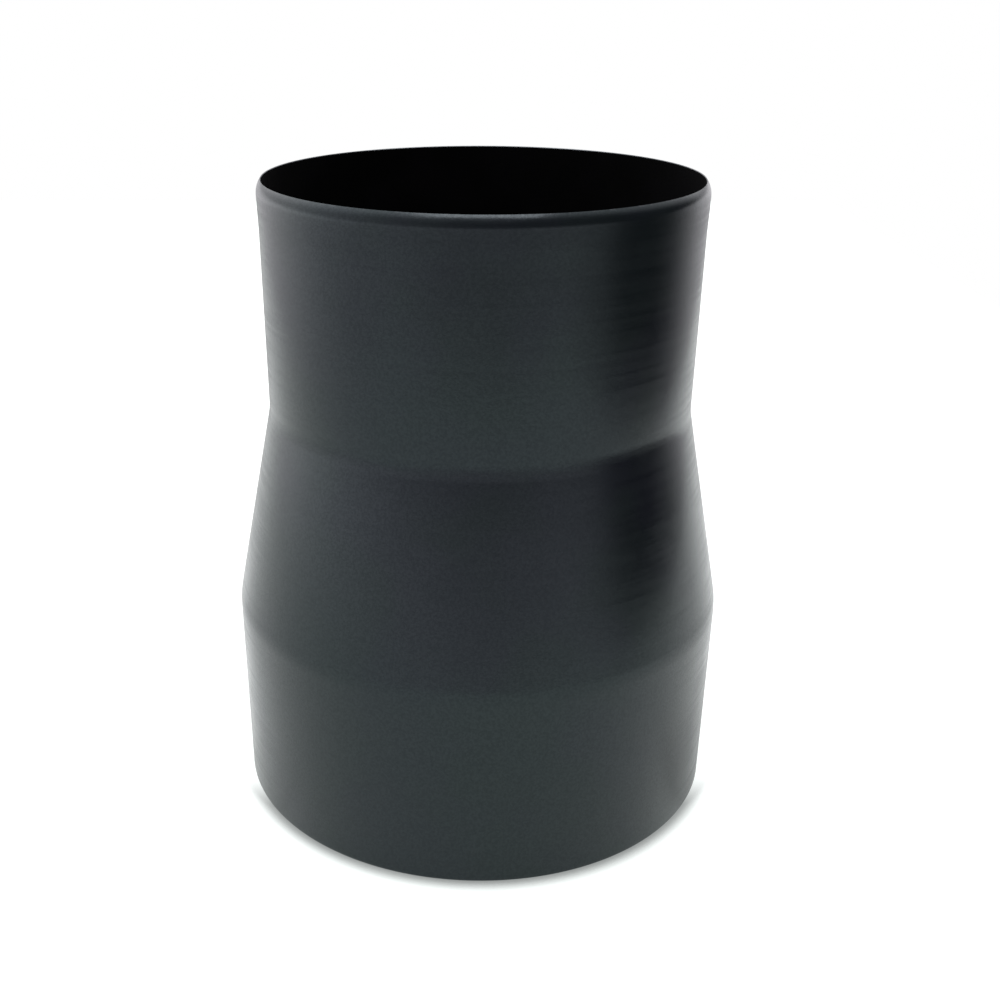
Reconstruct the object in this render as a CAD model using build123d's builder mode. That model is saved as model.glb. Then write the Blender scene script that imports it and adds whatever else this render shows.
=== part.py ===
"""Concentric reducer for a flue or duct: a wide spigot below, a cone, and a narrow spigot above.

Three rolled steel shells stand end to end on one axis. Each shell is closed by its own straight
weld, and a ring of weld metal joins each shell to the next. The part stands on the rim of its
wide end, with +Z up its axis and the origin at the centre of that rim.
"""

from build123d import *

import os
from math import atan2, cos, degrees, sin, tan

# Driving dimensions, in millimetres.
sheet = 1.5
wide_radius = 90.0
narrow_radius = 75.0
wide_height = 73.5
cone_height = 72.0
narrow_height = 77.5

# Welds. The face is the outer side of the bead, and the root is the inner side.
ring_face_half_width = 3.0
ring_root_half_width = 1.5
ring_root_rise = 0.3
seam_width = 2.6

# Where each shell's straight weld lies, in degrees counter-clockwise from +X, seen from above.
upper_seam_angle = 172.0
cone_seam_angle = 112.0
lower_seam_angle = 52.0

# The mouth of the narrow end: a shallow swell in the wall, and a lip dressed inwards above it.
swell_start_below_top = 18.0
swell_rise = 0.25
lip_height = 4.5
lip_edge_width = 0.2

# The cut edge of the wide end has its corners eased.
edge_easing = 0.35

# Heights and the slope of the cone, from the driving dimensions.
total_height = wide_height + cone_height + narrow_height
neck_height = wide_height + cone_height
slope_angle = atan2(wide_radius - narrow_radius, cone_height)
up = Vector(0, 1)
down = Vector(0, -1)
down_slope = Vector(sin(slope_angle), -cos(slope_angle))

# The corners where the straight walls would meet, outside and inside the sheet.
inner_corner_shift = Vector(-sheet, -sheet * tan(slope_angle / 2))
neck = Vector(narrow_radius, neck_height)
shoulder = Vector(wide_radius, wide_height)


def face_edge(corner, direction):
    """The edge of a ring weld's face, on the outer wall, this way from the corner."""
    return corner + direction * ring_face_half_width


def root_edge(corner, direction):
    """The edge of a ring weld's root, on the inner wall, this way from the corner."""
    return corner + inner_corner_shift + direction * ring_root_half_width


def radial_plane(angle):
    """The half plane through the axis at this angle, with x outwards and y up."""
    return Plane.XZ.rotated((0, 0, angle))


def lower_wall():
    """The wall of the wide spigot, in section, with the corners of its cut edge eased."""
    with BuildSketch() as wall:
        with BuildLine():
            Polyline(
                (wide_radius, 0),
                face_edge(shoulder, down),
                root_edge(shoulder, down),
                (wide_radius - sheet, 0),
                close=True,
            )
        make_face()
        fillet(vertices().group_by(Axis.Y)[0], edge_easing)
    return wall.sketch


def cone_wall():
    """The wall of the cone, in section."""
    with BuildSketch() as wall:
        with BuildLine():
            Polyline(
                face_edge(shoulder, -down_slope),
                face_edge(neck, down_slope),
                root_edge(neck, down_slope),
                root_edge(shoulder, -down_slope),
                close=True,
            )
        make_face()
    return wall.sketch


def upper_wall():
    """The wall of the narrow spigot, in section, with the swell and the lip at its mouth."""
    swell_start = Vector(narrow_radius, total_height - swell_start_below_top)
    lip_start = Vector(narrow_radius + swell_rise, total_height - lip_height)
    lip_crest = Vector(narrow_radius - sheet + lip_edge_width, total_height)
    inner_edge = Vector(narrow_radius - sheet, total_height - lip_edge_width)
    with BuildSketch() as wall:
        with BuildLine():
            Line(face_edge(neck, up), swell_start)
            Spline(swell_start, lip_start, tangents=[up, up])
            TangentArc(lip_start, lip_crest, tangent=up)
            Polyline(lip_crest, inner_edge, root_edge(neck, up), face_edge(neck, up))
        make_face()
    return wall.sketch


def ring_weld_section(corner, upper_way, lower_way):
    """A ring weld in section: a smooth face, two bevels, and a root a little proud of the wall."""
    root_bottom = root_edge(corner, lower_way)
    root_top = root_edge(corner, upper_way)
    root_middle = (root_bottom + root_top) / 2 - Vector(ring_root_rise, 0)
    with BuildSketch() as section:
        with BuildLine():
            face = TangentArc(
                face_edge(corner, upper_way), face_edge(corner, lower_way), tangent=-upper_way
            )
            Line(face @ 1, root_bottom)
            ThreePointArc(root_bottom, root_middle, root_top)
            Line(root_top, face @ 0)
        make_face()
    return section.sketch


def save(piece, name):
    """Labels a finished piece and writes its STEP file."""
    piece.part.label = name
    export_step(piece.part, f"parts/{name}.step")
    print(name, round(piece.part.volume), "mm3")


def make_shell(name, wall, middle_radius, seam_angle):
    """A rolled shell, and the straight weld that fills the gap between its two edges."""
    half_arc = degrees(seam_width / 2 / middle_radius)
    with BuildPart() as shell:
        with BuildSketch(radial_plane(seam_angle + half_arc)):
            add(wall)
        revolve(axis=Axis.Z, revolution_arc=360 - 2 * half_arc)
    with BuildPart() as seam:
        with BuildSketch(radial_plane(seam_angle - half_arc)):
            add(wall)
        revolve(axis=Axis.Z, revolution_arc=2 * half_arc)
    save(shell, name)
    save(seam, f"{name}_seam_weld")


def make_ring_weld(name, section):
    """A ring of weld metal between two shells."""
    with BuildPart() as ring:
        with BuildSketch(Plane.XZ):
            add(section)
        revolve(axis=Axis.Z)
    save(ring, name)


os.makedirs("parts", exist_ok=True)
make_shell("lower_tube", lower_wall(), wide_radius, lower_seam_angle)
make_shell("cone", cone_wall(), (wide_radius + narrow_radius) / 2, cone_seam_angle)
make_shell("upper_tube", upper_wall(), narrow_radius, upper_seam_angle)
make_ring_weld("shoulder_weld", ring_weld_section(shoulder, -down_slope, down))
make_ring_weld("neck_weld", ring_weld_section(neck, up, down_slope))
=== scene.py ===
"""Looks of a concentric reducer: three painted sheet-steel shells, joined by dressed ring welds.

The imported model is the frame, in metres, with the part standing on its wide end and +Z up its axis.
Each class builds one kind of piece where the frame says, and dresses it in its own paint. The part
stands on a white floor in a soft white studio, seen from a little above its mouth.
"""

import logging
import math
from collections.abc import Callable
from dataclasses import dataclass, field
from enum import Enum

import bmesh
import bpy
from mathutils import Matrix, Vector, noise


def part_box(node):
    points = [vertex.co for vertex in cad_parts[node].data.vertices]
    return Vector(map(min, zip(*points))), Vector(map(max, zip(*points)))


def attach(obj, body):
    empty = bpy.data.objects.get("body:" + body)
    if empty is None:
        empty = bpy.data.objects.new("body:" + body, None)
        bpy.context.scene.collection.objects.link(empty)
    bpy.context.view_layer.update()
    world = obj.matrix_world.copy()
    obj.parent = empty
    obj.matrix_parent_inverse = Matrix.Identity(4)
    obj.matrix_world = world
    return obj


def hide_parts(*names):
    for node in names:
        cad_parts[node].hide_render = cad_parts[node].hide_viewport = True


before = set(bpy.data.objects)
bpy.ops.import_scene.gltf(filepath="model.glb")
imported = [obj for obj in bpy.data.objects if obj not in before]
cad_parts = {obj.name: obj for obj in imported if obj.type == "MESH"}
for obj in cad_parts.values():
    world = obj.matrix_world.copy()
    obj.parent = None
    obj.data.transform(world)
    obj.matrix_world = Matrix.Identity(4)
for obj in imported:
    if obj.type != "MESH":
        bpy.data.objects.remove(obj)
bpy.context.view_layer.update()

MM = 0.001
FULL_TURN = 2 * math.pi
UP = Vector((0, 0, 1))
DOWN = Vector((0, 0, -1))
ORIGIN = Vector((0, 0, 0))
BODY = "root"
MOST_SECTORS = 24
MERGE_DISTANCE = 0.002 * MM
Colour = tuple[float, float, float, float]
Span = tuple[float, float]
log = logging.getLogger("reducer")


class PaintSlot(Enum):
    """The record's material slots."""

    SHELL = "shell_paint"
    WELD = "weld_paint"


class Side(Enum):
    """The two sides of a wall, and the place of each one's paint in a piece's slots."""

    OUTSIDE = 0
    INSIDE = 1


def smooth_rise(value: float, low: float, high: float) -> float:
    """A share that climbs smoothly from 0 at low to 1 at high."""
    share = min(max((value - low) / (high - low), 0.0), 1.0)
    return share * share * (3 - 2 * share)


def outward_at(point: Vector) -> Vector:
    """The way straight out from the axis at a point."""
    return Vector((point.x, point.y, 0)).normalized()


@dataclass(frozen=True)
class Plan:
    """The part's main sizes, in metres.

    The radii and heights are read off the frame. The sheet and the welds have the sizes that the
    frame was drawn with.
    """

    wide_radius: float
    narrow_radius: float
    shoulder_height: float
    neck_height: float
    total_height: float
    sheet: float = 1.5 * MM
    weld_half_width: float = 3.0 * MM
    root_half_width: float = 1.5 * MM
    seam_width: float = 2.6 * MM
    swell_rise: float = 0.25 * MM

    @classmethod
    def from_frame(cls) -> "Plan":
        """Reads the sizes off the CAD nodes, and rounds away the frame's facets.

        Returns:
            The plan.
        """
        def tenth(size: float) -> float:
            """A size rounded to a tenth of a millimetre."""
            return round(size / MM, 1) * MM

        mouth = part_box("upper_tube")[1]
        return cls(
            wide_radius=tenth(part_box("lower_tube")[1].x),
            narrow_radius=tenth(mouth.x - cls.swell_rise),
            shoulder_height=tenth(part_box("shoulder_weld")[0].z + cls.weld_half_width),
            neck_height=tenth(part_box("neck_weld")[1].z - cls.weld_half_width),
            total_height=tenth(mouth.z),
        )

    @property
    def slope(self) -> float:
        """The angle between the cone's wall and the axis, in radians."""
        return math.atan2(self.wide_radius - self.narrow_radius, self.neck_height - self.shoulder_height)

    @property
    def down_slope(self) -> Vector:
        """The way down the cone's wall, in the radial plane."""
        return Vector((math.sin(self.slope), 0, -math.cos(self.slope)))

    @property
    def shoulder(self) -> Vector:
        """Where the outer lines of the wide tube and the cone meet."""
        return Vector((self.wide_radius, 0, self.shoulder_height))

    @property
    def neck(self) -> Vector:
        """Where the outer lines of the cone and the narrow tube meet."""
        return Vector((self.narrow_radius, 0, self.neck_height))

    def face_edge(self, corner: Vector, way: Vector) -> Vector:
        """Where a ring weld's face ends on the outer wall, this way from the corner."""
        return corner + way * self.weld_half_width

    def root_edge(self, corner: Vector, way: Vector) -> Vector:
        """Where a ring weld's root ends on the inner wall, this way from the corner."""
        inward = Vector((-self.sheet, 0, -self.sheet * math.tan(self.slope / 2)))
        return corner + inward + way * self.root_half_width


class Section:
    """A closed outline in the radial plane, drawn line by line, and then turned about the axis."""

    def __init__(self, start: Vector) -> None:
        """Starts the outline at a point."""
        self.mesh = bmesh.new()
        self.first = self.mesh.verts.new(start)
        self.last = self.first

    def line_to(self, point: Vector, stride: float = math.inf) -> "Section":
        """Draws a straight line, in one edge unless it is cut into strides.

        Args:
            point: Where the line ends.
            stride: The longest edge that the line may have, in metres.

        Returns:
            The outline, to draw on.
        """
        way = point - self.last.co
        steps = max(1, math.ceil(way.length / stride))
        for _ in range(steps):
            made = bmesh.ops.extrude_vert_indiv(self.mesh, verts=[self.last])
            self.last = made["verts"][0]
            bmesh.ops.translate(self.mesh, verts=[self.last], vec=way / steps)
        return self

    def arc_to(self, point: Vector, turn: float, steps: int) -> "Section":
        """Draws an arc.

        Args:
            point: Where the arc ends.
            turn: The angle that the line turns through, in radians, to the left of its way.
            steps: How many equal edges the arc is cut into.

        Returns:
            The outline, to draw on.
        """
        chord = point - self.last.co
        leftward = Vector((-chord.z, 0, chord.x))
        centre = (self.last.co + point) / 2 + leftward / (2 * math.tan(turn / 2))
        made = bmesh.ops.spin(
            self.mesh, geom=[self.last], cent=centre, axis=(0, -1, 0), angle=turn, steps=steps
        )
        self.last = made["geom_last"][0]
        return self

    def join(self) -> "Section":
        """Joins the outline's last point, drawn where it started, to its first."""
        bmesh.ops.weld_verts(self.mesh, targetmap={self.last: self.first})
        return self

    def revolve(self, start: float, sweep: float, steps: int) -> bmesh.types.BMesh:
        """Turns the outline about the part's axis into a closed solid.

        One sector is turned step by step, and the others are copies of it.

        Args:
            start: The angle where the solid starts, in radians from +X.
            sweep: The angle that it covers, in radians.
            steps: How many facets it has round the axis.

        Returns:
            The solid's mesh, with its faces outwards.
        """
        mesh = self.mesh
        turned = Matrix.Rotation(start, 3, UP)
        bmesh.ops.rotate(mesh, verts=mesh.verts[:], cent=ORIGIN, matrix=turned)
        sectors = math.gcd(steps, MOST_SECTORS)
        sector = sweep / sectors
        outline = mesh.verts[:] + mesh.edges[:]
        bmesh.ops.spin(
            mesh, geom=outline, cent=ORIGIN, axis=UP, angle=sector, steps=steps // sectors
        )
        if sectors > 1:
            first = mesh.verts[:] + mesh.edges[:] + mesh.faces[:]
            bmesh.ops.spin(
                mesh, geom=first, cent=ORIGIN, axis=UP, angle=sweep - sector, steps=sectors - 1,
                use_duplicate=True,
            )
            bmesh.ops.remove_doubles(mesh, verts=mesh.verts[:], dist=MERGE_DISTANCE)
        ends = [edge for edge in mesh.edges if edge.is_boundary]
        bmesh.ops.holes_fill(mesh, edges=ends, sides=0)
        bmesh.ops.recalc_face_normals(mesh, faces=mesh.faces[:])
        return mesh


@dataclass(frozen=True)
class RollingError:
    """The slight unevenness of the rolled wall, which runs on from each piece into the next.

    A turn about the axis crosses the noise in a circle of the spread's radius, and a metre of
    height moves through it by the climb.
    """

    depth: float = 0.05 * MM
    spread: float = 1.6
    climb: float = 14.0
    seed: float = 7.3

    def at(self, point: Vector) -> float:
        """The wall's move at a point, in metres: inwards, and so never above 0."""
        way = outward_at(point) * self.spread
        spot = way + Vector((self.seed, self.seed, point.z * self.climb))
        return self.depth * (noise.noise(spot) - 1) / 2


ROLLED = RollingError()


class Wiring:
    """A material's or a world's nodes, each linked as it is added."""

    def __init__(self, owner: bpy.types.ID) -> None:
        """Takes over the owner's node tree, and empties it."""
        owner.use_nodes = True
        self.tree = owner.node_tree
        self.tree.nodes.clear()

    def add(
        self, kind: str, inputs: dict[str | int, object] | None = None, **settings: object
    ) -> bpy.types.Node:
        """Adds a node.

        Args:
            kind: The node's type, without its Shader Node prefix.
            inputs: What each input takes, by name or place: another node's output, or a value.
            **settings: The node's own options.

        Returns:
            The node.
        """
        node = self.tree.nodes.new("ShaderNode" + kind)
        for option, value in settings.items():
            setattr(node, option, value)
        for place, value in (inputs or {}).items():
            if isinstance(value, bpy.types.NodeSocket):
                self.tree.links.new(value, node.inputs[place])
            else:
                node.inputs[place].default_value = value
        return node

    def combine(self, kind: str, first: object, second: object = 0.0) -> bpy.types.NodeSocket:
        """The result of one step of arithmetic on one or two values or outputs."""
        return self.add("Math", {0: first, 1: second}, operation=kind).outputs[0]

    def spread(
        self, value: object, low: float, high: float, to_low: float, to_high: float,
        steady: bool = False,
    ) -> bpy.types.NodeSocket:
        """A value moved from one range to another, without going past its ends.

        Args:
            value: The value's output.
            low: Where the first range starts.
            high: Where the first range ends.
            to_low: What low becomes.
            to_high: What high becomes.
            steady: Whether the change is in a straight line, and not eased at both ends.

        Returns:
            The moved value's output.
        """
        limits = {"From Min": low, "From Max": high, "To Min": to_low, "To Max": to_high}
        way = "LINEAR" if steady else "SMOOTHSTEP"
        return self.add("MapRange", {"Value": value, **limits}, interpolation_type=way).outputs["Result"]

    def cloud(
        self, spot: object, size: float, detail: float = 2.0,
        stretch: tuple[float, float, float] = (1, 1, 1),
    ) -> bpy.types.NodeSocket:
        """Soft noise from 0 to 1.

        Args:
            spot: The coordinates' output.
            size: How far apart its clouds are, in metres.
            detail: How many finer layers it has.
            stretch: How much finer it is along each axis.

        Returns:
            The noise's output.
        """
        placed = self.add("Mapping", {"Vector": spot, "Scale": stretch})
        inputs = {"Vector": placed.outputs[0], "Scale": 1 / size, "Detail": detail}
        return self.add("TexNoise", inputs).outputs[0]

    def blend(self, share: object, first: object, second: object) -> bpy.types.NodeSocket:
        """A colour between two others."""
        # The node's inputs 6 and 7 and its output 2 are the ones for colours.
        node = self.add("Mix", {0: share, 6: first, 7: second}, data_type="RGBA")
        return node.outputs[2]

    def choose(self, share: object, first: object, second: object) -> bpy.types.NodeSocket:
        """A number between two others."""
        # The node's inputs 2 and 3 and its output 0 are the ones for numbers.
        return self.add("Mix", {0: share, 2: first, 3: second}).outputs[0]

    def relief(self, height: object, depth: float, under: object = None) -> bpy.types.NodeSocket:
        """A normal tilted by a relief of this depth in metres, over another normal."""
        inputs = {"Height": height, "Distance": depth, "Strength": 1.0}
        if under is not None:
            inputs["Normal"] = under
        return self.add("Bump", inputs).outputs[0]


@dataclass(frozen=True)
class OutsidePaint:
    """Satin anthracite paint, over steel that keeps the marks of its rolls or of its dressing.

    Each range is the part of a pattern's noise over which its effect comes in. The heights are
    those of the open edges, where handling has rubbed the paint.
    """

    name: str
    edge_heights: tuple[float, ...] = ()
    cool: Colour = (0.0048, 0.0056, 0.0078, 1)
    green: Colour = (0.0043, 0.0061, 0.0068, 1)
    rubbed: Colour = (0.030, 0.032, 0.034, 1)
    tint: Colour = (0.79, 0.99, 1.0, 1)
    refraction: float = 1.45
    shine: Span = (0.30, 0.385)
    fleck_size: float = 0.8 * MM
    fleck_range: Span = (0.35, 0.65)
    gloss: Span = (0.20, 0.26)
    gloss_range: Span = (0.15, 0.35)
    drift_size: float = 40 * MM
    drift_range: Span = (0.4, 0.6)
    smudge_size: float = 16 * MM
    smudge_detail: float = 4.0
    grain_size: float = 0.55 * MM
    grain_depth: float = 0.014 * MM
    grain_detail: float = 1.0
    peel_size: float = 3.5 * MM
    peel_depth: float = 0.01 * MM
    streak_size: float = 1.6 * MM
    streak_stretch: float = 0.02
    streak_depth: float = 0.0015 * MM
    streak_detail: float = 3.0
    rub_width: float = 0.5 * MM
    rub_size: float = 2.2 * MM
    rub_detail: float = 3.0
    rub_range: Span = (0.5, 0.75)
    most_rubbed: float = 0.7

    def material(self) -> bpy.types.Material:
        """Builds the paint.

        Returns:
            The material, on Object coordinates.
        """
        made = bpy.data.materials.new(self.name)
        wiring = Wiring(made)
        spot = wiring.add("TexCoord").outputs["Object"]
        drift = wiring.spread(wiring.cloud(spot, self.drift_size), *self.drift_range, 0.0, 1.0)
        colour = wiring.blend(drift, self.cool, self.green)
        colour = wiring.blend(self.rub(wiring, spot), colour, self.rubbed)
        smudges = wiring.cloud(spot, self.smudge_size, self.smudge_detail)
        along = (self.streak_stretch, self.streak_stretch, 1.0)
        streaks = wiring.cloud(spot, self.streak_size, self.streak_detail, along)
        marks = wiring.combine("MULTIPLY", smudges, streaks)
        gloss = wiring.spread(marks, *self.gloss_range, *self.gloss)
        flecks = wiring.cloud(spot, self.fleck_size)
        normal = wiring.relief(wiring.cloud(spot, self.peel_size), self.peel_depth)
        normal = wiring.relief(streaks, self.streak_depth, normal)
        grain = wiring.cloud(spot, self.grain_size, self.grain_detail)
        normal = wiring.relief(grain, self.grain_depth, normal)
        shader = wiring.add("BsdfPrincipled", {
            "Base Color": colour,
            "Roughness": gloss,
            "Normal": normal,
            "IOR": self.refraction,
            "Specular IOR Level": wiring.spread(flecks, *self.fleck_range, *self.shine),
            "Specular Tint": self.tint,
        })
        wiring.add("OutputMaterial", {"Surface": shader.outputs[0]})
        return made

    def rub(self, wiring: Wiring, spot: bpy.types.NodeSocket) -> bpy.types.NodeSocket | float:
        """Where handling has rubbed the paint thin: in patches, close to an open edge.

        Args:
            wiring: The material's nodes.
            spot: The coordinates' output.

        Returns:
            The share of rubbed paint, from 0 to 1.
        """
        share = 0.0
        height = wiring.add("SeparateXYZ", {0: spot}).outputs["Z"]
        patches = wiring.cloud(spot, self.rub_size, self.rub_detail)
        patches = wiring.spread(patches, *self.rub_range, 0.0, self.most_rubbed)
        for edge in self.edge_heights:
            away = wiring.combine("ABSOLUTE", wiring.combine("SUBTRACT", height, edge))
            near = wiring.spread(away, 0.0, self.rub_width, 1.0, 0.0)
            share = wiring.combine("MAXIMUM", share, wiring.combine("MULTIPLY", near, patches))
        return share


@dataclass(frozen=True)
class InsidePaintAndShade:
    """The thin coat inside, with a dusty bloom, made nearly black: the coat's own dark colour and
    painted shade for the inside of the bore.
    """

    name: str = "inside_paint_and_shade"
    # Far darker than a real coat: this colour is painted shade for the inside of the bore, over the
    # coat's own black.
    black: Colour = (0.0006, 0.0007, 0.0007, 1)
    bloom: Colour = (0.0012, 0.0013, 0.0014, 1)
    bloom_size: float = 25 * MM
    bloom_detail: float = 4.0
    bloom_range: Span = (0.4, 0.65)
    speck_size: float = 1.1 * MM
    speck_depth: float = 0.02 * MM
    specular: float = 0.02
    gloss: Span = (0.72, 0.80)

    def material(self) -> bpy.types.Material:
        """Builds the coat.

        Returns:
            The material, on Object coordinates.
        """
        made = bpy.data.materials.new(self.name)
        wiring = Wiring(made)
        spot = wiring.add("TexCoord").outputs["Object"]
        bloom = wiring.cloud(spot, self.bloom_size, self.bloom_detail)
        bloom = wiring.spread(bloom, *self.bloom_range, 0.0, 1.0)
        specks = wiring.cloud(spot, self.speck_size)
        shader = wiring.add("BsdfPrincipled", {
            "Base Color": wiring.blend(bloom, self.black, self.bloom),
            "Roughness": wiring.spread(bloom, 0.0, 1.0, *self.gloss),
            "Normal": wiring.relief(specks, self.speck_depth),
            "Specular IOR Level": self.specular,
        })
        wiring.add("OutputMaterial", {"Surface": shader.outputs[0]})
        return made


@dataclass
class Piece:
    """One piece of the reducer, which stands for one CAD node.

    The facets are its steps round the axis. An edge sharper than the sharp angle is kept crisp.
    """

    plan: Plan
    name: str
    node: str
    slot: PaintSlot
    paint: OutsidePaint
    lining_and_shade: InsidePaintAndShade
    facets: int = 480
    sharp_angle: float = math.radians(32)

    def build(self) -> bmesh.types.BMesh:
        """Models the piece."""
        raise NotImplementedError

    def dress(self, mesh: bmesh.types.BMesh) -> bpy.types.Object:
        """Paints the piece's two sides, and ties it to the frame.

        Args:
            mesh: The finished shape, in the frame's place.

        Returns:
            The piece.
        """
        for face in mesh.faces:
            face.smooth = True
            middle = face.calc_center_median()
            outward = face.normal.dot(outward_at(middle))
            side = Side.INSIDE if outward < -math.cos(self.sharp_angle) else Side.OUTSIDE
            face.material_index = side.value
        data = bpy.data.meshes.new(self.name)
        mesh.to_mesh(data)
        mesh.free()
        data.set_sharp_from_angle(angle=self.sharp_angle)
        data.materials.append(self.paint.material())
        data.materials.append(self.lining_and_shade.material())
        made = bpy.data.objects.new(self.name, data)
        bpy.context.scene.collection.objects.link(made)
        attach(made, BODY)
        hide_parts(self.node)
        log.info("%s: %d faces", self.name, len(data.polygons))
        return made

    def make(self) -> bpy.types.Object:
        """Builds and dresses the piece."""
        return self.dress(self.build())


def push_out(mesh: bmesh.types.BMesh, rise: Callable[[bmesh.types.BMVert], float]) -> None:
    """Moves each vertex straight out from the axis, and refreshes the normals.

    Args:
        mesh: The mesh to shape.
        rise: A function of a vertex that gives how far it moves, in metres.
    """
    moves = [rise(vertex) for vertex in mesh.verts]
    for vertex, move in zip(mesh.verts, moves):
        vertex.co += outward_at(vertex.co) * move
    mesh.normal_update()


@dataclass
class Shell(Piece):
    """A rolled sheet, closed round the axis but for the gap that its straight weld fills."""

    seam_degrees: float = field(kw_only=True)
    middle_radius: float = field(kw_only=True)
    outer_stride: float = 1.0 * MM
    inner_stride: float = 4.0 * MM

    def outline(self, outer_stride: float, inner_stride: float) -> Section:
        """The wall's section, cut into strides of these lengths outside and inside."""
        raise NotImplementedError

    def mark_depth(self, height: float) -> float:
        """How far the outer wall dips at a height, where the rolls have marked it."""
        return 0.0

    @property
    def half_gap(self) -> float:
        """Half the angle of the gap between the sheet's two edges, in radians."""
        return self.plan.seam_width / 2 / self.middle_radius

    def build(self) -> bmesh.types.BMesh:
        """Models the shell.

        Returns:
            The shell, closed, with its gap at the seam's angle.
        """
        start = math.radians(self.seam_degrees) + self.half_gap
        outline = self.outline(self.outer_stride, self.inner_stride)
        mesh = outline.revolve(start, FULL_TURN - 2 * self.half_gap, self.facets)
        push_out(mesh, self.rise)
        return mesh

    def rise(self, vertex: bmesh.types.BMVert) -> float:
        """How far the wall stands out at a vertex."""
        outside = vertex.normal.dot(outward_at(vertex.co)) > 0
        return ROLLED.at(vertex.co) - (self.mark_depth(vertex.co.z) if outside else 0.0)


@dataclass
class LowerTube(Shell):
    """The wide spigot, with the corners of its cut edge eased."""

    easing: float = 0.35 * MM
    easing_steps: int = 4

    def outline(self, outer_stride: float, inner_stride: float) -> Section:
        """Draws the wall's section, up outside and down inside."""
        plan = self.plan
        outer = plan.wide_radius
        inner = outer - plan.sheet
        corner_turn = math.pi / 2
        drawn = Section(Vector((outer, 0, self.easing)))
        drawn.line_to(plan.face_edge(plan.shoulder, DOWN), outer_stride)
        drawn.line_to(plan.root_edge(plan.shoulder, DOWN))
        drawn.line_to(Vector((inner, 0, self.easing)), inner_stride)
        drawn.arc_to(Vector((inner + self.easing, 0, 0)), corner_turn, self.easing_steps)
        drawn.line_to(Vector((outer - self.easing, 0, 0)))
        drawn.arc_to(Vector((outer, 0, self.easing)), corner_turn, self.easing_steps)
        return drawn.join()


@dataclass
class Cone(Shell):
    """The straight cone."""

    def outline(self, outer_stride: float, inner_stride: float) -> Section:
        """Draws the wall's section, up outside and down inside."""
        plan = self.plan
        up_slope = -plan.down_slope
        drawn = Section(plan.face_edge(plan.shoulder, up_slope))
        drawn.line_to(plan.face_edge(plan.neck, plan.down_slope), outer_stride)
        drawn.line_to(plan.root_edge(plan.neck, plan.down_slope))
        drawn.line_to(plan.root_edge(plan.shoulder, up_slope), inner_stride)
        drawn.line_to(plan.face_edge(plan.shoulder, up_slope))
        return drawn.join()


@dataclass
class UpperTube(Shell):
    """The narrow spigot, with a shallow swell and a dressed lip at its mouth."""

    swell_start_below_top: float = 18.0 * MM
    lip_height: float = 4.5 * MM
    lip_edge_width: float = 0.2 * MM
    swell_steps: int = 7
    lip_steps: int = 20
    marks_below_top: tuple[float, ...] = (21.3 * MM, 37.4 * MM, 44.9 * MM)
    mark_width: float = 0.7 * MM
    mark_rise: float = 0.02 * MM

    def outline(self, outer_stride: float, inner_stride: float) -> Section:
        """Draws the wall's section, up outside and down inside."""
        plan = self.plan
        top = plan.total_height
        inner = plan.narrow_radius - plan.sheet
        swell_start = Vector((plan.narrow_radius, 0, top - self.swell_start_below_top))
        lip_start = Vector((plan.narrow_radius + plan.swell_rise, 0, top - self.lip_height))
        swell = lip_start - swell_start
        crest = Vector((inner + self.lip_edge_width, 0, top))
        half_swell_turn = 2 * math.atan2(swell.x, swell.z)
        lip_turn = 2 * math.atan2(lip_start.x - crest.x, crest.z - lip_start.z)
        drawn = Section(plan.face_edge(plan.neck, UP))
        drawn.line_to(swell_start, outer_stride)
        drawn.arc_to(swell_start + swell / 2, -half_swell_turn, self.swell_steps)
        drawn.arc_to(lip_start, half_swell_turn, self.swell_steps)
        drawn.arc_to(crest, lip_turn, self.lip_steps)
        drawn.line_to(Vector((inner, 0, top - self.lip_edge_width)))
        drawn.line_to(plan.root_edge(plan.neck, UP), inner_stride)
        drawn.line_to(plan.face_edge(plan.neck, UP))
        return drawn.join()

    def mark_depth(self, height: float) -> float:
        """How far the wall dips at a height, where the rolls have marked it."""
        depth = 0.0
        for below in self.marks_below_top:
            away = (height - self.plan.total_height + below) / self.mark_width
            depth += self.mark_rise * math.exp(-away * away)
        return depth


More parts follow.
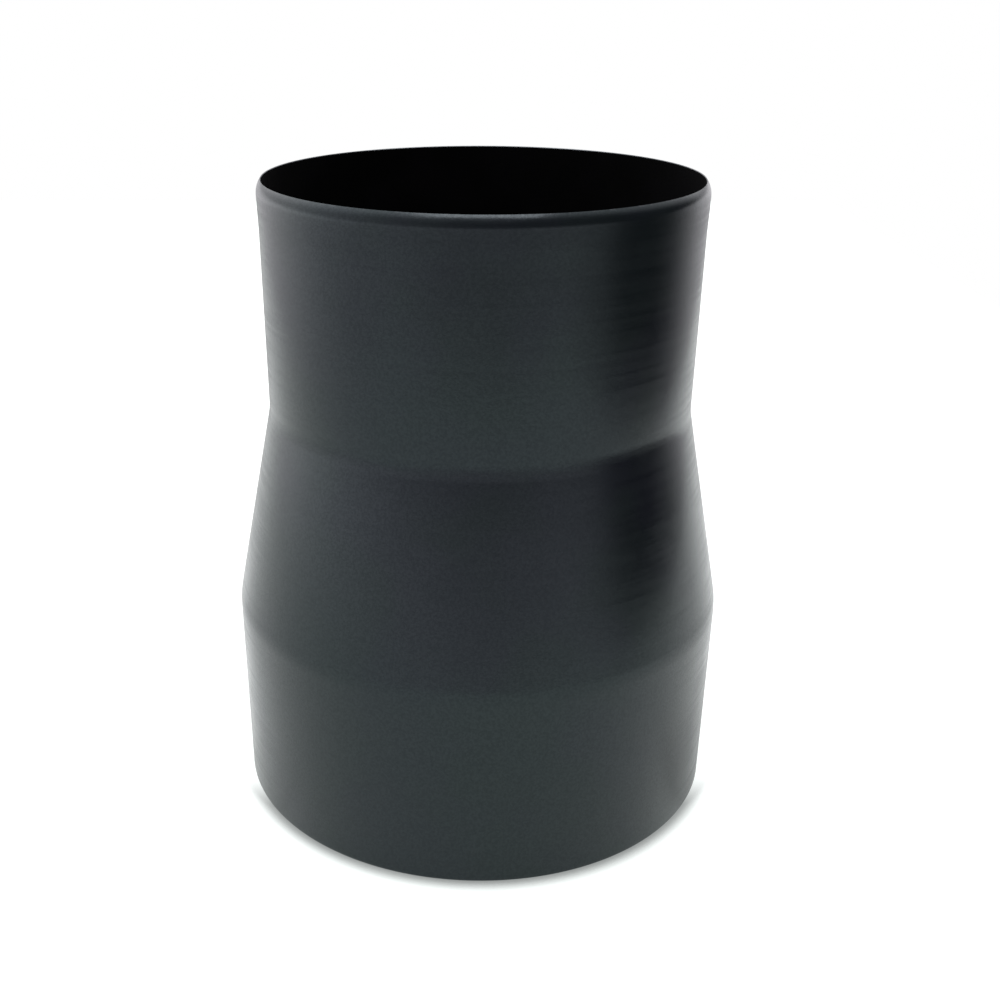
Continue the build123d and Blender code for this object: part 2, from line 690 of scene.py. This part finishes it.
@dataclass
class SeamWeld(Piece):
    """The straight weld that closes a shell: a low rippled bead, dressed flush at both ends.

    The bead laps over the sheet's two edges, and its own edges are sunk just below the wall.
    """

    shell: Shell = field(kw_only=True)
    ends: Span = field(init=False)
    half_width: float = 1.7 * MM
    crown: float = 0.2 * MM
    root_crown: float = 0.25 * MM
    sink: float = 0.03 * MM
    ripple: float = 0.035 * MM
    ripple_pitch: float = 0.95 * MM
    ripple_curl: float = 2.4
    stride: float = 0.16 * MM
    dressed_length: float = 7.0 * MM
    facets: int = 12

    def build(self) -> bmesh.types.BMesh:
        """Models the bead along its shell's wall.

        Returns:
            The bead, closed.
        """
        half_angle = self.half_width / self.shell.middle_radius
        start = math.radians(self.shell.seam_degrees) - half_angle
        outline = self.shell.outline(self.stride, self.stride)
        mesh = outline.revolve(start, 2 * half_angle, self.facets)
        heights = [vertex.co.z for vertex in mesh.verts]
        self.ends = (min(heights), max(heights))
        push_out(mesh, self.rise)
        return mesh

    def rise(self, vertex: bmesh.types.BMVert) -> float:
        """How far the bead stands out at a vertex: outwards on its face, inwards on its root."""
        spot = vertex.co
        middle = math.radians(self.shell.seam_degrees)
        swing = Vector((math.cos(middle), math.sin(middle))).angle_signed(spot.xy)
        across = swing * self.shell.middle_radius / self.half_width
        arch = 1 - across * across
        to_end = min(spot.z - self.ends[0], self.ends[1] - spot.z)
        kept = smooth_rise(to_end, 0, self.dressed_length)
        phase = FULL_TURN * spot.z / self.ripple_pitch + self.ripple_curl * across * across
        wave = self.ripple * math.cos(phase)
        outside = vertex.normal.dot(outward_at(spot)) > 0
        if outside:
            return ROLLED.at(spot) + arch * kept * (self.crown + wave) - self.sink
        return ROLLED.at(spot) - arch * kept * (self.root_crown + wave) + self.sink


@dataclass
class RingWeld(Piece):
    """The weld between two shells: a face dressed smooth into both walls, and a rippled root.

    The two ways lead from the corner along the walls, and the root stands proud of them inside.
    """

    corner: Vector = field(kw_only=True)
    upper_way: Vector = field(kw_only=True)
    lower_way: Vector = field(kw_only=True)
    middle: float = field(init=False)
    half_face: float = field(init=False)
    half_root: float = field(init=False)
    root_rise: float = 0.3 * MM
    face_steps: int = 14
    root_steps: int = 8
    ripple: float = 0.09 * MM
    ripple_pitch: float = 1.5 * MM
    ripple_curl: float = 2.0
    file_marks: float = 0.012 * MM
    file_mark_size: float = 9.0 * MM
    facets: int = 2160

    def build(self) -> bmesh.types.BMesh:
        """Models the ring.

        Returns:
            The ring, closed.
        """
        plan = self.plan
        face_top = plan.face_edge(self.corner, self.upper_way)
        face_bottom = plan.face_edge(self.corner, self.lower_way)
        root_top = plan.root_edge(self.corner, self.upper_way)
        root_bottom = plan.root_edge(self.corner, self.lower_way)
        inward = -(self.upper_way.x + self.lower_way.x)
        bend = math.copysign((-self.lower_way).angle(self.upper_way), inward)
        root_chord = root_top - root_bottom
        # A quarter of an arc's turn has twice the rise over the chord as its tangent.
        root_turn = 4 * math.atan2(2 * self.root_rise, root_chord.length)
        self.middle = (root_top.z + root_bottom.z) / 2
        self.half_face = (face_top.z - face_bottom.z) / 2
        self.half_root = root_chord.length / 2
        drawn = Section(face_bottom)
        drawn.arc_to(face_top, bend, self.face_steps)
        drawn.line_to(root_top)
        drawn.arc_to(root_bottom, root_turn, self.root_steps)
        drawn.line_to(face_bottom)
        mesh = drawn.join().revolve(0.0, FULL_TURN, self.facets)
        push_out(mesh, self.rise)
        return mesh

    def rise(self, vertex: bmesh.types.BMVert) -> float:
        """How far the ring stands out at a vertex: file marks on its face, ripples on its root."""
        spot = vertex.co
        outside = vertex.normal.dot(outward_at(spot)) > 0
        across = (spot.z - self.middle) / (self.half_face if outside else self.half_root)
        arch = max(0.0, 1 - across * across)
        if outside:
            return ROLLED.at(spot) + arch * self.file_marks * noise.noise(spot / self.file_mark_size)
        ripples = round(FULL_TURN * self.corner.x / self.ripple_pitch)
        phase = ripples * math.atan2(spot.y, spot.x) + self.ripple_curl * across * across
        return ROLLED.at(spot) - arch * self.ripple * math.cos(phase)


@dataclass(frozen=True)
class SoftBox:
    """A flat white lamp that faces a point."""

    name: str
    place: Vector
    aim: Vector
    width: float
    depth: float
    radiance: float
    colour: tuple[float, float, float] = (1.12, 1.0, 1.06)

    def build(self) -> bpy.types.Object:
        """Hangs the lamp.

        Returns:
            The lamp.
        """
        lamp = bpy.data.lights.new(self.name, "AREA")
        lamp.shape = "RECTANGLE"
        lamp.size = self.width
        lamp.size_y = self.depth
        lamp.energy = self.radiance * math.pi * self.width * self.depth
        lamp.color = self.colour
        made = bpy.data.objects.new(self.name, lamp)
        made.location = self.place
        made.rotation_euler = (self.aim - self.place).to_track_quat("-Z", "Y").to_euler()
        made.visible_camera = False
        bpy.context.scene.collection.objects.link(made)
        return made


@dataclass(frozen=True)
class WhiteFloor:
    """The pale sheet that the part stands on. It glows, and so it stays white but at the contact.

    The contact carries a painted shadow, on the front side only, within its reach of the part, and
    seen by the camera's rays alone. In what the paint mirrors, the sheet carries painted shadows of
    the part: dimmer straight behind it and close round its right side. Each shade is the share of the
    light that is left. The behind range is of angles away from straight back, in radians, and the near
    range is of distances from the near centre.
    """

    left: float = -0.62
    right: float = 0.50
    front: float = -0.66
    back: float = 1.3
    drop: float = 0.05 * MM
    cuts: int = 24
    paper: Colour = (0.24, 0.25, 0.24, 1)
    off_paper: Colour = (0.22, 0.23, 0.23, 1)
    glow: Colour = (0.93, 1.0, 0.97, 1)
    glow_strength: float = 0.84
    mottle_size: float = 60 * MM
    contact_reach: float = 11 * MM
    contact_shade: float = 0.30
    contact_range: Span = (0.5, 0.88)
    contact_fade: Span = (-60 * MM, -20 * MM)
    behind_range: Span = (0.15, 1.0)
    behind_shade: float = 0.5
    near_centre: tuple[float, float, float] = (25 * MM, 0, 0)
    near_range: Span = (72 * MM, 152 * MM)
    near_shade: float = 0.65

    def build(self) -> bpy.types.Object:
        """Lays the floor just under the part.

        Returns:
            The floor.
        """
        mesh = bmesh.new()
        half = 0.5
        bmesh.ops.create_grid(mesh, x_segments=self.cuts, y_segments=self.cuts, size=half)
        span = Vector((self.right - self.left, self.back - self.front, 1))
        bmesh.ops.scale(mesh, vec=span, verts=mesh.verts[:])
        middle = Vector(((self.right + self.left) / 2, (self.back + self.front) / 2, -self.drop))
        bmesh.ops.translate(mesh, vec=middle, verts=mesh.verts[:])
        data = bpy.data.meshes.new("floor")
        mesh.to_mesh(data)
        mesh.free()
        data.materials.append(self.material())
        made = bpy.data.objects.new("floor", data)
        bpy.context.scene.collection.objects.link(made)
        return made

    def material(self) -> bpy.types.Material:
        """Builds the sheet's paper: faintly mottled, glowing, and clear when seen from below.

        Returns:
            The material, on Object coordinates.
        """
        made = bpy.data.materials.new("white_paper")
        wiring = Wiring(made)
        spot = wiring.add("TexCoord").outputs["Object"]
        # Painted shadow: the ambient occlusion darkens the paper's colour and its glow at the contact,
        # for the camera's rays only.
        contact = wiring.add("AmbientOcclusion", {"Distance": self.contact_reach})
        parts = wiring.add("SeparateXYZ", {0: spot}).outputs
        beyond_front = wiring.spread(parts["Y"], *self.contact_fade, 0.0, 1.0)
        seen = wiring.add("LightPath").outputs["Is Camera Ray"]
        shown = wiring.spread(contact.outputs["AO"], *self.contact_range, self.contact_shade, 1.0)
        shown = wiring.combine("MAXIMUM", shown, beyond_front)
        open_share = wiring.choose(seen, self.mirrored_share(wiring, spot, parts), shown)
        paper = wiring.blend(wiring.cloud(spot, self.mottle_size), self.paper, self.off_paper)
        shaded = wiring.blend(open_share, (0, 0, 0, 1), paper)
        strength = wiring.combine("MULTIPLY", open_share, self.glow_strength)
        sheet = wiring.add("BsdfDiffuse", {"Color": shaded})
        glow = wiring.add("Emission", {"Color": self.glow, "Strength": strength})
        above = wiring.add("AddShader", {0: sheet.outputs[0], 1: glow.outputs[0]}).outputs[0]
        below = wiring.add("BsdfTransparent").outputs[0]
        underneath = wiring.add("NewGeometry").outputs["Backfacing"]
        both = wiring.add("MixShader", {0: underneath, 1: above, 2: below})
        wiring.add("OutputMaterial", {"Surface": both.outputs[0]})
        return made

    def mirrored_share(
        self, wiring: Wiring, spot: bpy.types.NodeSocket, parts: bpy.types.bpy_prop_collection
    ) -> bpy.types.NodeSocket:
        """How much of the floor's light the paint mirrors: painted shadows of the part make it less
        behind the part and close round it.

        Args:
            wiring: The material's nodes.
            spot: The coordinates' output.
            parts: The coordinates' X, Y and Z outputs.

        Returns:
            The share, from 0 to 1.
        """
        sideways = wiring.combine("ABSOLUTE", parts["X"])
        angle = wiring.combine("ARCTAN2", sideways, parts["Y"])
        # Painted shadows of the part on the floor, behind it and close round its right side, seen by
        # every ray but the camera's.
        behind = wiring.spread(angle, *self.behind_range, self.behind_shade, 1.0)
        away = wiring.add("VectorMath", {0: spot, 1: self.near_centre}, operation="DISTANCE")
        near = wiring.spread(away.outputs["Value"], *self.near_range, self.near_shade, 1.0)
        ahead = wiring.spread(parts["Y"], *self.contact_fade, 1.0, 0.0)
        near = wiring.combine("MAXIMUM", near, ahead)
        return wiring.combine("MULTIPLY", behind, near)


@dataclass(frozen=True)
class Surround:
    """The room round the floor: bright to the left, dimmer straight behind, and dark to the right.

    Each level is an angle in degrees, round from the front towards the right, and the walls'
    brightness there. The gain brightens the walls just below the horizon, and above it the upper
    drop takes light away. The ceiling starts high in front and low behind.
    """

    levels: tuple[Span, ...] = (
        (-180, 0.55), (-160, 0.8), (-142, 1.25), (-108, 1.85), (-86, 1.65), (-42, 1.05),
        (0, 0.78), (46, 0.8), (58, 0.6), (70, 0.1), (80, 0.0), (96, 0.0),
        (108, 0.25), (120, 0.7), (134, 1.15), (160, 0.8), (180, 0.55),
    )
    brightest: float = 2.0
    wall_gain: Span = (0.78, 1.35)
    wall_fade: Span = (-0.25, -0.06)
    upper_drop: float = 1.0
    horizon_blur: Span = (0.0, 0.09)
    ceiling: float = 1.4
    ceiling_tilt: float = 0.4
    ceiling_fade: Span = (0.3, 0.7)
    tint_fade: Span = (-0.9, 0.2)
    front_tint: Colour = (1.10, 1.0, 1.09, 1)
    back_tint: Colour = (1.02, 1.0, 1.04, 1)
    backdrop: Colour = (1, 1, 1, 1)

    def build(self) -> bpy.types.World:
        """Builds the room's light.

        Returns:
            The world.
        """
        made = bpy.data.worlds.new("studio_room")
        wiring = Wiring(made)
        way = wiring.add("TexCoord").outputs["Generated"]
        parts = wiring.add("SeparateXYZ", {0: way}).outputs
        gain = wiring.spread(parts["Z"], *self.wall_fade, *self.wall_gain)
        level = wiring.combine("MULTIPLY", self.wall_level(wiring, parts), gain)
        drop = wiring.spread(parts["Z"], *self.horizon_blur, 0.0, self.upper_drop)
        walls = wiring.combine("MAXIMUM", wiring.combine("SUBTRACT", level, drop), 0.0)
        backward = wiring.combine("MULTIPLY", parts["Y"], self.ceiling_tilt)
        climb = wiring.combine("ADD", parts["Z"], backward)
        ceiling = wiring.spread(climb, *self.ceiling_fade, 0.0, self.ceiling)
        light = wiring.combine("ADD", walls, ceiling)
        share = wiring.spread(parts["Y"], *self.tint_fade, 0.0, 1.0)
        tint = wiring.blend(share, self.front_tint, self.back_tint)
        room = wiring.add("Background", {"Color": tint, "Strength": light})
        backdrop = wiring.add("Background", {"Color": self.backdrop})
        seen = wiring.add("LightPath").outputs["Is Camera Ray"]
        either = wiring.add("MixShader", {0: seen, 1: room.outputs[0], 2: backdrop.outputs[0]})
        wiring.add("OutputWorld", {"Surface": either.outputs[0]})
        bpy.context.scene.world = made
        return made

    def wall_level(self, wiring: Wiring, parts: bpy.types.bpy_prop_collection) -> bpy.types.NodeSocket:
        """The walls' brightness this way from the part.

        Args:
            wiring: The world's nodes.
            parts: The direction's X, Y and Z outputs.

        Returns:
            The brightness, below the horizon.
        """
        ahead = wiring.combine("MULTIPLY", parts["Y"], -1.0)
        round_angle = wiring.combine("ARCTAN2", parts["X"], ahead)
        share = wiring.spread(round_angle, -math.pi, math.pi, 0.0, 1.0, steady=True)
        ramp = wiring.add("ValToRGB", {"Fac": share})
        stops = ramp.color_ramp.elements
        halfway = 0.5
        while len(stops) < len(self.levels):
            stops.new(halfway)
        for stop, (angle, level) in zip(stops, self.levels):
            stop.position = (angle + 180) / 360
            grey = level / self.brightest
            stop.color = (grey, grey, grey, 1)
        return wiring.combine("MULTIPLY", ramp.outputs["Color"], self.brightest)


@dataclass(frozen=True)
class Viewpoint:
    """The camera: a little to the left of the axis, above the mouth, and tilted down."""

    side: float = -14.2 * MM
    distance: float = 441.2 * MM
    height: float = 287.3 * MM
    tilt_degrees: float = 26.8
    lens_mm: float = 45.72
    shift: Span = (0.06, 0.10)
    nearest: float = 10 * MM

    def build(self) -> bpy.types.Object:
        """Sets the camera up.

        Returns:
            The camera.
        """
        data = bpy.data.cameras.new("camera")
        data.lens = self.lens_mm
        data.shift_x, data.shift_y = self.shift
        data.clip_start = self.nearest
        made = bpy.data.objects.new("camera", data)
        made.location = (self.side, -self.distance, self.height)
        made.rotation_euler = (math.radians(90 - self.tilt_degrees), 0, 0)
        bpy.context.scene.collection.objects.link(made)
        bpy.context.scene.camera = made
        return made


@dataclass
class Studio:
    """The floor, the room, the lamps and the camera."""

    floor: WhiteFloor = field(default_factory=WhiteFloor)
    surround: Surround = field(default_factory=Surround)
    viewpoint: Viewpoint = field(default_factory=Viewpoint)
    lamps: tuple[SoftBox, ...] = (
        SoftBox(
            "top_bank", place=Vector((0, 0.5, 1.4)), aim=Vector((0, 0.5, 0)),
            width=1.2, depth=1.2, radiance=8.0,
        ),
        SoftBox(
            "mouth_lamp", place=Vector((-0.05, -0.76, 1.5)), aim=Vector((0, -0.07, 0.22)),
            width=1.3, depth=0.52, radiance=5.5,
        ),
    )

    def build(self) -> None:
        """Sets the whole studio up."""
        self.floor.build()
        self.surround.build()
        for lamp in self.lamps:
            lamp.build()
        self.viewpoint.build()
        bpy.context.scene.view_settings.view_transform = "Standard"


def reducer_pieces(plan: Plan) -> list[Piece]:
    """Plans every piece, from the bottom up.

    Args:
        plan: The part's main sizes.

    Returns:
        The pieces, not yet built.
    """
    lining_and_shade = InsidePaintAndShade()
    foot_paint = OutsidePaint("lower_paint", edge_heights=(0.0,))
    cone_paint = OutsidePaint("cone_paint")
    mouth_paint = OutsidePaint("upper_paint", edge_heights=(plan.total_height,))
    weld_paint = OutsidePaint("weld_paint")
    middle_radius = (plan.wide_radius + plan.narrow_radius) / 2
    shell = PaintSlot.SHELL
    lower = LowerTube(
        plan, "lower_shell", "lower_tube", shell, foot_paint, lining_and_shade,
        seam_degrees=52.0, middle_radius=plan.wide_radius,
    )
    cone = Cone(
        plan, "cone_shell", "cone", shell, cone_paint, lining_and_shade,
        seam_degrees=112.0, middle_radius=middle_radius,
    )
    upper = UpperTube(
        plan, "upper_shell", "upper_tube", shell, mouth_paint, lining_and_shade,
        seam_degrees=172.0, middle_radius=plan.narrow_radius,
    )
    rings = [
        RingWeld(
            plan, "shoulder_ring_weld", "shoulder_weld", PaintSlot.WELD, weld_paint, lining_and_shade,
            corner=plan.shoulder, upper_way=-plan.down_slope, lower_way=DOWN,
        ),
        RingWeld(
            plan, "neck_ring_weld", "neck_weld", PaintSlot.WELD, weld_paint, lining_and_shade,
            corner=plan.neck, upper_way=UP, lower_way=plan.down_slope,
        ),
    ]
    seams = [
        SeamWeld(
            plan, f"{made.node}_bead", f"{made.node}_seam_weld", PaintSlot.WELD, weld_paint, lining_and_shade,
            shell=made,
        )
        for made in (lower, cone, upper)
    ]
    return [lower, cone, upper, *rings, *seams]


def main() -> None:
    """Builds the reducer piece by piece, then the studio round it."""
    plan = Plan.from_frame()
    log.info("plan: %s", plan)
    for piece in reducer_pieces(plan):
        piece.make()
    Studio().build()


if __name__ == "__main__":
    logging.basicConfig(level=logging.INFO, format="%(name)s: %(message)s")
    main()
